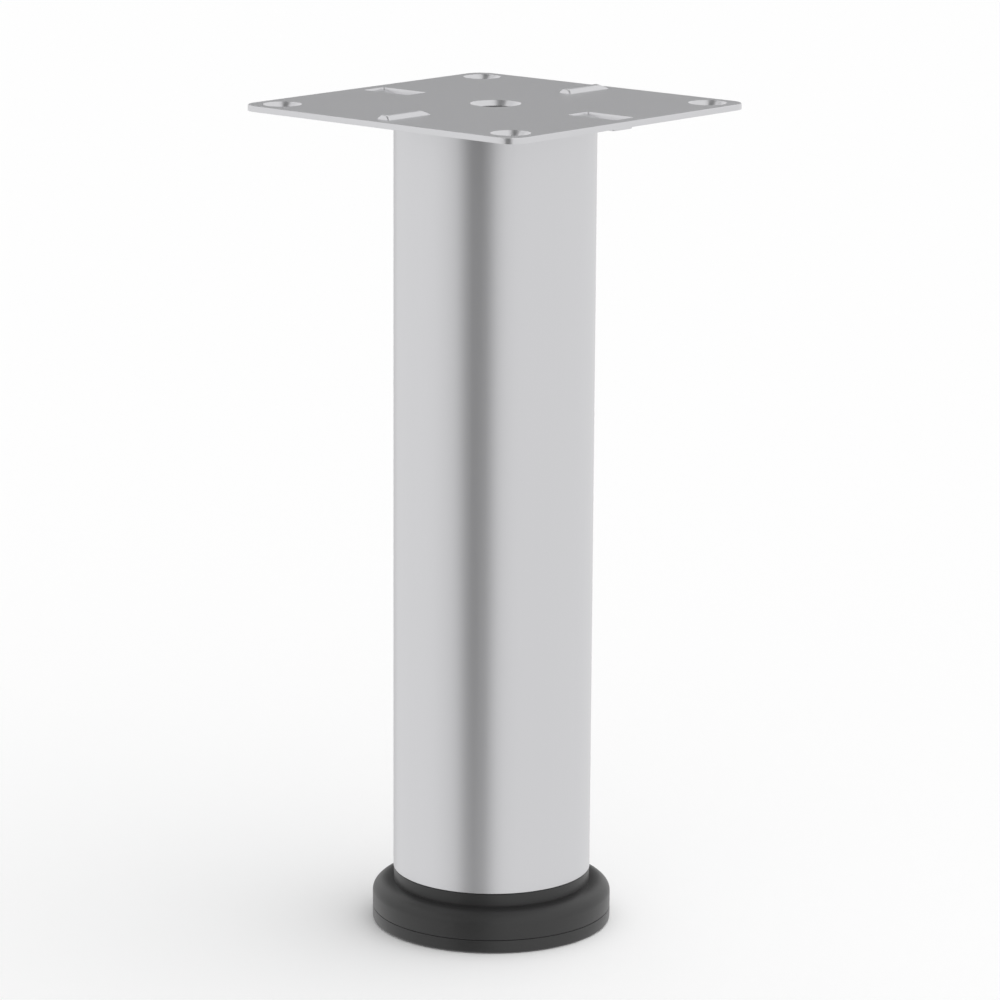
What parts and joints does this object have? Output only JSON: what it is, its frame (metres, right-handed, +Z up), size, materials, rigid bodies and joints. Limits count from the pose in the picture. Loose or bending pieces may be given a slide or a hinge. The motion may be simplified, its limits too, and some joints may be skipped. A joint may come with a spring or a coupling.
{
  "type": "furniture leg",
  "caption": "Round satin-steel furniture leg with a square screw-on mounting plate and a black plastic foot that screws in and out for levelling.",
  "frame": {"origin": "on the floor at the middle of the sole, on the tube's axis", "axes": "+Z up the tube to the plate, +X and +Y along the plate's sides"},
  "size_m": [0.09, 0.09, 0.2132],
  "materials": {
    "plate_steel": "satin pressed sheet",
    "tube_steel": "satin, brushed",
    "black_plastic": "fine moulded grain",
    "sole_plastic": "fine moulded grain",
    "zinc_steel": "zinc plated"
  },
  "bodies": {
    "leg": {"mounting_plate": "plate_steel", "leg_tube": "tube_steel", "tube_insert": "black_plastic", "captive_nut": "zinc_steel"},
    "sole": {"sole_pad": "sole_plastic"},
    "foot": {"foot_body": "black_plastic", "levelling_stud": "zinc_steel"}
  },
  "joints": [
    {"name": "height_slide", "type": "slide", "parent": "leg", "child": "sole", "axis": [0, 0, -1], "range_m": [0, 0.015]},
    {"name": "foot_turn", "type": "hinge", "parent": "sole", "child": "foot", "pos_m": [0, 0, 0], "axis": [0, 0, -1], "range_deg": [0, 3600]}
  ],
  "couplings": [
    {"joint": "height_slide", "follows": "foot_turn", "m_per_rad": 0.00023873}
  ]
}
